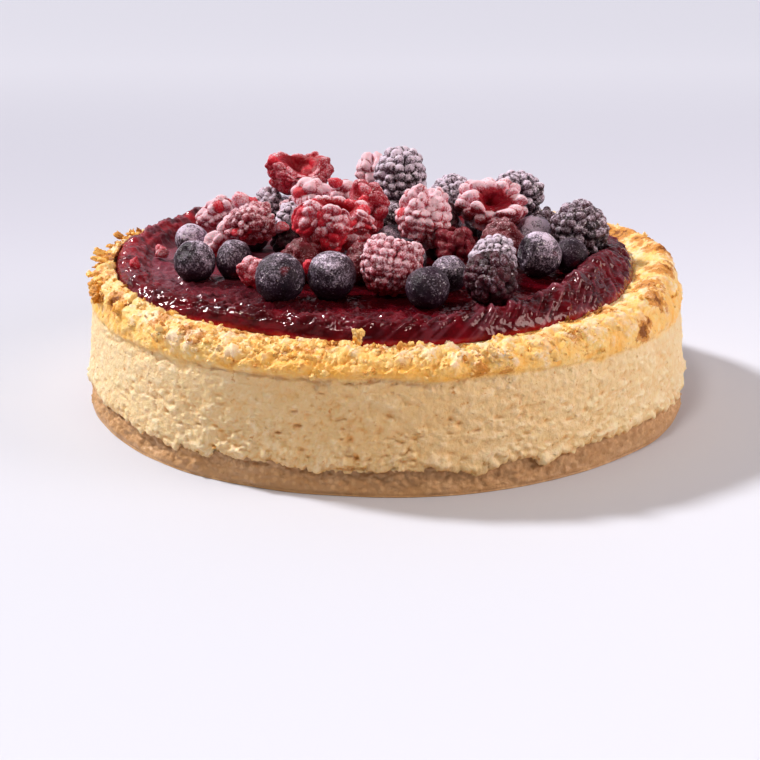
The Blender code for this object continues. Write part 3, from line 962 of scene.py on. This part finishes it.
def build_jam(material):
    angle = headings(AROUND_JAM)
    ledge = ledge_height(angle)
    grid = turned(jam_outline(angle), angle)
    inward = jam_radius(angle) - across(grid)
    relief, film = jam_relief(grid, angle, inward)
    shade = inward * 0
    for middle, half in resting_berries():
        away = across(grid - middle)
        relief = relief + 1.6 * np.exp(-((away / (0.8 * half)) ** 2)) * ramp(inward, 4, 10)
        shade = np.maximum(shade, np.exp(-((away / (1.7 * half)) ** 4)))
    shade = 0.85 * shade * np.clip(0.8 + 0.5 * layered(grid, 6.0, 3, 69), 0, 1)
    height = grid[..., 2]
    thin = ramp(height, ledge + 2.6, ledge + 0.6) * ramp(inward, 6, 1) * (0.35 + 0.65 * frontness(angle))
    thin = thin * np.clip(0.7 + 0.6 * ring_noise(angle, 12.0, 79), 0, 1)
    # Painted glow: patches of the back-left roll are coloured as if lit from behind.
    thin = thin + hill(angle, 145, 52) * ramp(inward, 15, 9) * ramp(layered(grid, 5.0, 3, 70), -0.5, 0.4)
    # The back left and the right ridge's streaks are rougher and carry painted mauve sheen.
    dull = np.clip(hills(angle, (1, 150, 56), (0.15, -160, 18)), 0, 1) * ramp(inward, 7, 14)
    dull = np.clip(dull + 0.4 * hill(angle, 150, 50) + 0.8 * film, 0, 1)
    points = grid + outward(grid) * relief[..., None]
    ends = ((0, 0, JAM_UNDERSIDE), (0, 0, JAM_FLOOR))
    make_closed("jam_top", points, ends, material, "jam", "jam", thin=thin, dull=dull, shade=shade)


# ---------------------------------------------------------------- berries

# Half outlines of each kind of berry, as (radius, height) shares of its width and length, from its tip
# up to its stalk end, or a blueberry's crown. A raspberry's goes on down its hollow.
SECTIONS = {
    "blueberry": [
        (0, -0.5), (0.27, -0.42), (0.44, -0.23), (0.5, 0), (0.45, 0.25),
        (0.32, 0.40), (0.19, 0.465), (0.13, 0.44), (0, 0.42),
    ],
    "raspberry": [
        (0, -0.5), (0.24, -0.44), (0.41, -0.22), (0.48, 0.06), (0.44, 0.34),
        (0.34, 0.47), (0.22, 0.38), (0.16, 0.10), (0, -0.04),
    ],
    "thick_raspberry": [
        (0, -0.5), (0.24, -0.44), (0.41, -0.22), (0.48, 0.06), (0.45, 0.32),
        (0.31, 0.46), (0.15, 0.38), (0.09, 0.10), (0, -0.05),
    ],
    "bramble": [
        (0, -0.5), (0.25, -0.43), (0.42, -0.24), (0.48, 0.02), (0.43, 0.28),
        (0.26, 0.44), (0.1, 0.42), (0, 0.40),
    ],
}

# Each berry: size (width, depth, length) in millimetres, the heading its upper end leans to and how
# far from upright, the spacing of its drupelets, how frosted, how bright and how crushed it is.
BERRIES = {
    "blueberry_01": ((13, 13, 12), (-130, 50), 0, 0.44, 0.0, 0.08),
    "blueberry_02": ((11.5, 11.5, 10.5), (170, 150), 0, 0.6, 0.0, 0.08),
    "blueberry_03": ((11, 11, 12.5), (60, 200), 0, 0.32, 0.0, 0.08),
    "blueberry_04": ((14.5, 14.5, 13.5), (100, 160), 0, 0.27, 0.0, 0.08),
    "blueberry_05": ((14.5, 14.5, 13.5), (70, 150), 0, 0.36, 0.0, 0.08),
    "blueberry_06": ((12.5, 12.5, 12.5), (90, 100), 0, 0.22, 0.0, 0.08),
    "blueberry_07": ((11, 11, 11), (90, 150), 0, 0.32, 0.0, 0.08),
    "blueberry_08": ((15, 13, 13), (190, 70), 0, 0.52, 0.0, 0.2),
    "blueberry_09": ((11, 11, 11), (20, 160), 0, 0.16, 0.0, 0.08),
    "bramble_01": ((16, 16, 15), (-100, -120), 2.7, 0.2, 0.03, 0.15),
    "bramble_02": ((15, 15, 16), (80, 205), 2.7, 0.7, 0.0, 0.1),
    "bramble_03": ((19.5, 19, 20.5), (-160, 192), 3.0, 0.42, 0.0, 0.1),
    "raspberry_01": ((19.5, 19, 17.5), (50, 20), 2.6, 0.6, 0.0, 0.1),
    "raspberry_02": ((9.5, 9, 11), (160, 60), 3.2, 0.5, 0.6, 0.6),
    "bramble_04": ((15, 13, 15), (0, 80), 3.0, 0.02, 0.0, 0.2),
    "raspberry_03": ((13.5, 14, 16.5), (20, 78), 2.6, 0.52, 0.0, 0.25),
    "raspberry_04": ((11, 10, 17), (0, 42), 4.0, 1.15, 0.6, 0.5),
    "raspberry_05": ((8.5, 8.5, 14), (5, 52), 3.0, 0.85, 0.3, 0.5),
    "bramble_05": ((11, 11, 13), (80, 210), 2.6, 0.62, 0.0, 0.1),
    "bramble_06": ((10.5, 10.5, 18), (0, 184), 2.6, 0.85, 0.0, 0.1),
    "blueberry_10": ((12, 12, 12), (-90, 10), 0, 0.8, 0.0, 0.05),
    "raspberry_06": ((27, 18, 18.5), (-60, 14), 3.3, 0.66, 0.8, 0.35),
    "raspberry_07": ((14.5, 12, 11), (110, 10), 4.4, 0.82, 0.6, 0.5),
    "raspberry_08": ((14, 13, 17.5), (70, 20), 4.2, 0.38, 0.4, 0.6),
    "raspberry_09": ((18.5, 17, 20.5), (60, 12), 3.4, 0.82, 0.5, 0.3),
    "bramble_07": ((13.5, 13.5, 20.5), (0, 184), 3.0, 0.0, 0.0, 0.1),
    "raspberry_10": ((25, 19, 14), (-84, 52), 4.6, 0.78, 0.4, 0.4),
    "bramble_08": ((18.5, 18, 22), (8, 78), 3.4, 0.6, 0.0, 0.2),
    "raspberry_11": ((12.5, 12, 15.5), (140, 10), 3.2, 0.1, 0.0, 0.5),
    "blueberry_11": ((12.5, 12.5, 14.5), (60, 20), 0, 0.85, 0.0, 0.05),
    "bramble_09": ((11.5, 11.5, 14), (30, 195), 3.0, 0.3, 0.0, 0.1),
    "raspberry_12": ((24.5, 20, 14.5), (-90, 6), 3.6, 0.42, 0.5, 0.5),
    "bramble_10": ((18.5, 18.5, 20.5), (90, 186), 3.5, 0.68, 0.0, 0.05),
    "raspberry_13": ((13.5, 12, 17), (130, 15), 4.6, 0.95, 0.4, 0.4),
    "bramble_11": ((16, 15, 16.5), (15, 75), 3.0, 0.62, 0.0, 0.1),
    "raspberry_14": ((8.5, 8, 9), (80, 20), 4.6, 0.8, 0.5, 0.3),
    "raspberry_15": ((13, 13, 13), (30, 50), 2.8, 0.2, 0.2, 0.3),
    "raspberry_16": ((12.5, 12.5, 13), (-30, 50), 2.8, 0.2, 0.2, 0.3),
    "blueberry_12": ((13.5, 13.5, 13), (0, 20), 0, 0.4, 0.0, 0.05),
    "blueberry_13": ((13, 13, 12.5), (0, 20), 0, 0.4, 0.0, 0.05),
    "blueberry_14": ((13.5, 13.5, 13), (0, 20), 0, 0.4, 0.0, 0.05),
    "raspberry_17": ((12, 12, 13), (200, 60), 2.8, 0.45, 0.1, 0.3),
    "blueberry_15": ((13.5, 13.5, 13), (0, 20), 0, 0.4, 0.0, 0.05),
    "bramble_12": ((15, 15, 16.5), (0, 10), 3.0, 0.4, 0.0, 0.1),
    "raspberry_18": ((14.5, 14.5, 15), (0, 40), 2.8, 0.3, 0.1, 0.3),
    "blueberry_16": ((13.5, 13.5, 13), (0, 20), 0, 0.4, 0.0, 0.05),
    "bramble_13": ((15.5, 15.5, 17), (40, 20), 3.0, 0.4, 0.0, 0.1),
    "blueberry_17": ((13, 13, 12.5), (0, 20), 0, 0.4, 0.0, 0.05),
    "raspberry_19": ((15.5, 15.5, 16), (120, 30), 2.8, 0.5, 0.1, 0.2),
    "blueberry_18": ((14, 14, 14), (0, 20), 0, 0.4, 0.0, 0.05),
    "raspberry_20": ((15, 15, 16), (60, 30), 2.8, 0.5, 0.1, 0.2),
    "blueberry_19": ((13, 13, 12.5), (80, 40), 0, 0.5, 0.0, 0.05),
    "blueberry_20": ((13.5, 13.5, 13), (120, 40), 0, 0.45, 0.0, 0.05),
    "bramble_14": ((15.5, 15.5, 17), (100, 30), 3.0, 0.55, 0.0, 0.1),
    "blueberry_21": ((14, 14, 13.5), (90, 40), 0, 0.35, 0.0, 0.05),
    "raspberry_21": ((14, 14, 14), (80, 60), 2.8, 0.5, 0.1, 0.2),
    "blueberry_22": ((12, 12, 12), (40, 30), 0, 0.5, 0.0, 0.05),
}

# Each kind of skin: its darkest and lightest colour, its painted crease shade, its frost, its roughness where
# bare, and how far light goes into it.
SKINS = {
    "blueberry": (
        (0.004, 0.003, 0.008), (0.034, 0.008, 0.026), (0.01, 0.004, 0.01), (0.80, 0.67, 0.88), 0.4, 0.03,
    ),
    "raspberry": (
        (0.22, 0.003, 0.012), (0.50, 0.014, 0.040), (0.13, 0.001, 0.006), (0.95, 0.68, 0.80), 0.35, 0.35,
    ),
    "bramble": (
        (0.007, 0.002, 0.005), (0.060, 0.006, 0.016), (0.003, 0.001, 0.002), (0.82, 0.70, 0.88), 0.32, 0.05,
    ),
}

# Grooves down a berry's side: heading and half width in degrees, depth in millimetres, and how far
# its rim dips there, as a share of its length.
GROOVES = {
    "raspberry_04": [(-70, 22, 1.2, 0.1)],
    "raspberry_06": [(-52, 12, 1.2, 0.16), (-118, 14, 1.2, 0.05)],
    "raspberry_09": [(-82, 14, 1.8, 0.04), (60, 30, 1.0, 0.1)],
    "raspberry_10": [(20, 30, 1.0, 0.12)],
    "raspberry_12": [(-78, 38, 0.8, 0.34), (95, 35, 0.5, 0.1)],
    "raspberry_13": [(-95, 20, 1.4, 0.1)],
}

# Raspberries whose hollow end doesn't show, and the one that has thick flesh round its hollow.
CLOSED = ["raspberry_04", "raspberry_07", "raspberry_08", "raspberry_09", "raspberry_13"]
THICK = "raspberry_10"

# How many of each kind show in the photo. The ones numbered above that are plainer.
SHOWN = {"blueberry": 11, "raspberry": 14, "bramble": 11}

# Berries drawn darker, and how far.
DUSKY = {"raspberry_11": 0.55, "raspberry_03": 0.1, "bramble_07": 0.5}


def evenly(outline, spacing):
    """Points that far apart along a smooth outline [n, 2], and each one's way along it."""
    steps = np.linalg.norm(np.diff(outline, axis=0), axis=-1)
    along = np.concatenate([[0], np.cumsum(steps)])
    count = round(along[-1] / spacing) + 1
    spots = np.linspace(0, along[-1], count)
    return np.stack([np.interp(spots, along, outline[:, k]) for k in (0, 1)], axis=-1), spots


def drupelets(outline, along, end, pitch, random):
    """Middles and radii of the drupelets that cover a berry's outline [rings, 2] as far as end."""
    slopes = np.gradient(outline, axis=0)
    slopes = slopes / np.maximum(np.linalg.norm(slopes, axis=-1, keepdims=True), 1e-9)
    middles, sizes = [], []
    rows = max(3, round(end / (0.84 * pitch)))
    for row in range(rows):
        spot = end * (row + 0.4) / rows
        parts = (outline[:, 0], outline[:, 1], slopes[:, 1], -slopes[:, 0])
        radius, height, out, up = (np.interp(spot, along, part) for part in parts)
        count = max(1, round(2 * math.pi * radius / (0.96 * pitch)))
        for i in range(count):
            turn = 2 * math.pi * (i + 0.5 * (row % 2) + 0.3 * random.uniform(-1, 1)) / count
            size = pitch * random.uniform(0.47, 0.62)
            middle = radius - 0.34 * size * out
            drop = 0.34 * size * up + 0.2 * pitch * random.uniform(-1, 1)
            middles.append((middle * math.cos(turn), middle * math.sin(turn), height - drop))
            sizes.append(size)
    return np.array(middles), np.array(sizes)


def swell(grid, normals, middles, sizes):
    """How far the drupelets push each point of a berry out, how deep it lies between them, and a
    number of its own drupelet's."""
    flat, ways = grid.reshape(-1, 3), normals.reshape(-1, 3)
    offset = middles[None] - flat[:, None]
    ahead = np.einsum("pdk,pk->pd", offset, ways)
    inside = sizes**2 - np.einsum("pdk,pdk->pd", offset, offset) + ahead**2
    reach = ahead + np.sign(inside) * np.sqrt(np.abs(inside))
    order = np.sort(reach, axis=1)
    best, second = order[:, -1], order[:, -2]
    sharp = 12.0
    out = best + np.log(np.exp(sharp * (reach - best[:, None])).sum(axis=1)) / sharp
    crease = np.exp(-(best - second) / 0.4)
    own = reach.argmax(axis=1)
    shape = grid.shape[:-1]
    return out.reshape(shape), crease.reshape(shape), own.reshape(shape)


def grooved(points, normals, angle, inner, name, length):
    """A berry's points, pressed in along its grooves."""
    for heading, half_width, depth, dip in GROOVES.get(name, ()):
        near = hill(angle, heading, half_width)
        points = points - normals * (depth * near * (1 - inner))[..., None]
        lowered = dip * length * near * ramp(points[..., 2] / length, -0.1, 0.5)
        points = points - lowered[..., None] * (0, 0, 1)
    return points


def settled(points, name, lie):
    """A berry's points, turned to how it lies and fitted to its CAD node's box."""
    heading, lean = (math.radians(part) for part in lie)
    points = points @ np.array(rotation(heading, lean) @ rotation(-heading)).T
    low, high = box_of(name)
    span = points.max(axis=0) - points.min(axis=0)
    points = points * np.clip((high - low + 0.6) / span, 0.85, 1.15)
    return points + (low + high) / 2 - (points.max(axis=0) + points.min(axis=0)) / 2


def build_berry(name, materials, seed):
    """Builds one berry in its own upright frame, settles it in its place and frosts it."""
    size, lie, pitch, frosted, bright, crushed = BERRIES[name]
    kind = name.split("_")[0]
    random = np.random.default_rng(seed)
    shown = int(name[-2:]) <= SHOWN[kind]
    widest = max(size[0], size[1])
    wide = (size[0] + size[1]) / 2 - 0.5 * pitch
    long = size[2] - 0.5 * pitch
    form = "thick_raspberry" if name == THICK else "bramble" if name in CLOSED else kind
    section = np.array(SECTIONS[form])
    outline = smooth_curve(section * (wide, long), [12] * (len(section) - 1))
    spacing, side_spacing = (0.45, 0.5) if shown else (0.8, 0.85)
    outline, along = evenly(outline, spacing)
    around = round(math.pi * wide / side_spacing)
    angle = np.linspace(0, 2 * math.pi, around, endpoint=False)
    grid = turned(np.broadcast_to(outline[:, None], (len(outline), around, 2)), angle)[1:-1]
    way = np.broadcast_to(along[1:-1, None], grid.shape[:2])
    tip, top = np.array([0, 0, outline[0, 1]]), np.array([0, 0, outline[-1, 1]])
    normals = outward(grid)
    offset = random.uniform(0, 50, 3)
    rim = along[outline[:, 1].argmax()]
    hollow = kind == "raspberry" and name not in CLOSED
    # The plainer raspberries lie buried in the heap and are darkened as painted shade.
    dusk = DUSKY.get(name, 0.0 if shown or kind != "raspberry" else 0.75)
    inner = ramp(way, rim + 0.3, rim + 1.6) if hollow else way * 0.0
    if pitch:
        middles, sizes = drupelets(outline, along, rim + 0.2 * pitch if hollow else along[-1], pitch, random)
        out, crease, own = swell(grid, normals, middles, sizes)
        out = out + (0.2 * layered(grid + offset, 2.0, 2, seed) - out) * inner
        crease = crease * (1 - inner) + 0.7 * inner
        own_tone = random.uniform(0, 1, len(sizes))
        tone = own_tone[own] * (1 - inner)
        bare = (own_tone[own] > 0.975) & (kind == "raspberry")
        glow = np.clip(bright * (0.6 + 0.8 * own_tone[own]) + 0.9 * bare, 0, 1)
        tip = tip - (0, 0, 0.2 * pitch)
        top = top + (0, 0, 0.15 * pitch * (not hollow))
    else:
        crown = np.exp(-(((grid[..., 2] / size[2] - 0.47) / 0.02) ** 2))
        out = 0.3 * crown * (0.5 + 0.5 * np.cos(5 * angle)) + 0.16 * layered(grid + offset, 2.6, 3, seed, 0.6)
        crease = ramp(grid[..., 2] / size[2], 0.38, 0.44) * 0.7
        tone = 0.5 + 0.5 * layered(grid + offset, 6.0, 3, seed + 1)
        glow = 0.25 * ramp(noise(grid + offset, 5.0, seed + 2), 0.55, 0.95)
    points = grooved(grid + normals * out[..., None], normals, angle, inner, name, size[2])
    points = with_ends(points * (size[0] / widest, size[1] / widest, 1), tip, top)
    bend = np.stack([layered(points + offset, 9.0, 2, seed + k) for k in (3, 4, 5)], axis=-1)
    points = points + (0.02 + crushed * 0.13) * max(size) * bend
    points = settled(points, name, lie)

    body = points[:-2].reshape(grid.shape)
    upness = 0.5 + 0.5 * outward(body)[..., 2]
    base = ramp(body[..., 2], JAM_FLOOR + 0.5, JAM_FLOOR + 7.0)
    # Frost with painted light and shade: more on up-facing points, so tops read lit, and less near the jam,
    # so feet read shaded.
    frost = frosted * (0.25 + 1.15 * upness) * (0.15 + 0.85 * base) * (1 - 0.7 * inner)
    frost = frost * (1 - (0.95 if kind == "bramble" else 0.8) * crease) + 0.12 * (tone - 0.5)
    frost = frost * (1 - 0.7 * (glow > 0.88))
    if not pitch:
        frost = frost * (0.55 + 0.8 * ramp(layered(grid + offset, 5.0, 4, seed + 9, 0.7), -0.5, 0.6))
    values = {"frost": frost, "crease": crease, "tone": tone, "glow": glow, "dusk": tone * 0 + dusk}
    make_closed("frosted_" + name, body, points[-2:], materials[kind], kind, name, **values)


# Loose drupelets and bits of raspberry: (x, y, z), (length, width, thickness), frosted, bright.
LOOSE = [
    ((-76.0, -3.0, 46.4), (4.6, 4.2, 4.6), 0.45, 0.7),
    ((-80.6, -24.5, 46.6), (3.4, 3.6, 6.0), 0.2, 0.6),
    ((-22.6, -54.5, 53.0), (4.0, 4.0, 4.6), 0.1, 0.8),
    ((-50.0, 7.0, 62.4), (6.0, 5.0, 5.0), 0.6, 0.8),
    ((-46.5, 9.0, 61.0), (4.0, 4.0, 3.6), 0.3, 0.9),
    ((-34.5, -14.0, 57.0), (5.5, 5.0, 3.6), 0.5, 0.7),
    ((-17.2, 4.0, 68.6), (5.0, 4.0, 3.6), 0.3, 0.9),
]


def build_loose_bits(material):
    random = np.random.default_rng(31)
    bits = []
    for place, shape, frosted, bright in LOOSE:
        own = {"frost": frosted, "glow": bright}
        bits.append((place, shape, rotation(random.uniform(0, 6.28)), own))
    values = {"frost": 0.3, "crease": 0.0, "tone": 0.6, "glow": 0.5, "dusk": 0.0}
    scatter("loose_drupelets", bits, material, "raspberry", 14, 20, 0.45, **values)


# ---------------------------------------------------------------- the stage


def build_stage():
    """A pale floor, with painted shade a little behind the cake and painted light far off."""
    made = new_material("pale_floor")
    away = made.add("ShaderNodeSeparateXYZ", {0: made.place}).outputs["Y"]
    behind = made.spread(away, -0.05, 0.3)
    far = made.spread(away, 0.3, 1.6)
    colour = made.mix(behind, (0.61, 0.64, 0.755), (0.58, 0.595, 0.72))
    colour = made.mix(far, colour, (0.76, 0.775, 0.905))
    material = made.finish(Base_Color=colour, Roughness=0.7, Specular_IOR_Level=0.2)
    mesh = bpy.data.meshes.new("floor")
    half = 25.0
    corners = [(-half, -half, 0), (half, -half, 0), (half, half, 0), (-half, half, 0)]
    mesh.from_pydata(corners, [], [(0, 1, 2, 3)])
    mesh.materials.append(material)
    floor = bpy.data.objects.new("floor", mesh)
    bpy.context.scene.collection.objects.link(floor)


def add_lamp(name, place, size, power, colour):
    """A round soft lamp that points at the cake."""
    lamp = bpy.data.lights.new(name, "AREA")
    lamp.shape = "DISK"
    lamp.size = size
    lamp.energy = power
    lamp.color = colour
    obj = bpy.data.objects.new(name, lamp)
    obj.location = place
    obj.rotation_euler = (Vector((0, 0, 0.03)) - Vector(place)).to_track_quat("-Z", "Y").to_euler()
    bpy.context.scene.collection.objects.link(obj)


def build_world():
    """A soft studio: a pale lavender backdrop that glows behind the cake, and dimmer light elsewhere."""
    made = Nodes(bpy.data.worlds.new("soft_studio"))
    inputs = {0: made.coordinates["Generated"], 1: (0, 1, 0)}
    toward = made.add("ShaderNodeVectorMath", inputs, operation="DOT_PRODUCT").outputs["Value"]
    ends = {7: (-0.3, -0.3, -0.3), 8: (0.8, 0.8, 0.8), 9: (1.0, 0.86, 0.70), 10: (0.94, 0.90, 1.0)}
    tint = made.add("ShaderNodeMapRange", {6: toward, **ends}, data_type="FLOAT_VECTOR").outputs[1]
    strength = made.spread(toward, -0.2, 0.9, 0.10, 0.54)
    bpy.context.scene.world = made.finish("Background", Color=tint, Strength=strength)


def build_lights_and_camera():
    scene = bpy.context.scene
    sun = bpy.data.lights.new("key", "SUN")
    sun.energy = 3.6
    sun.angle = 0.13
    sun.color = (1.0, 0.97, 0.93)
    key = bpy.data.objects.new("key", sun)
    key.rotation_euler = Vector((-0.72, 0.36, 0.75)).to_track_quat("Z", "Y").to_euler()
    scene.collection.objects.link(key)
    add_lamp("right_fill", (0.95, -0.24, 0.45), 0.6, 6.6, (1.0, 0.86, 0.76))
    add_lamp("left_fill", (-0.8, -0.55, 0.7), 0.8, 0.6, (1.0, 0.88, 0.72))
    add_lamp("front_spot", (-0.3, -0.5, 1.0), 0.2, 3.9, (1.0, 0.88, 0.76))
    camera = bpy.data.cameras.new("camera")
    camera.sensor_width = 36
    camera.lens = 57.48
    camera.clip_start = 0.02
    camera.clip_end = 100
    obj = bpy.data.objects.new("camera", camera)
    obj.location = (0.00174, -0.4045, 0.1358)
    obj.rotation_euler = (math.radians(90 - 18.57), 0, math.radians(0.556))
    scene.collection.objects.link(obj)
    scene.camera = obj
    scene.view_settings.view_transform = "Standard"


def main():
    filling = filling_material()
    build_crumbs(build_filling(filling), filling)
    build_base(base_material())
    build_jam(jam_material())
    materials = {kind: berry_material("frosted_" + kind + "_skin", *skin) for kind, skin in SKINS.items()}
    for seed, name in enumerate(BERRIES):
        build_berry(name, materials, 100 + seed * 10)
    build_loose_bits(materials["raspberry"])
    build_stage()
    build_world()
    build_lights_and_camera()


main()
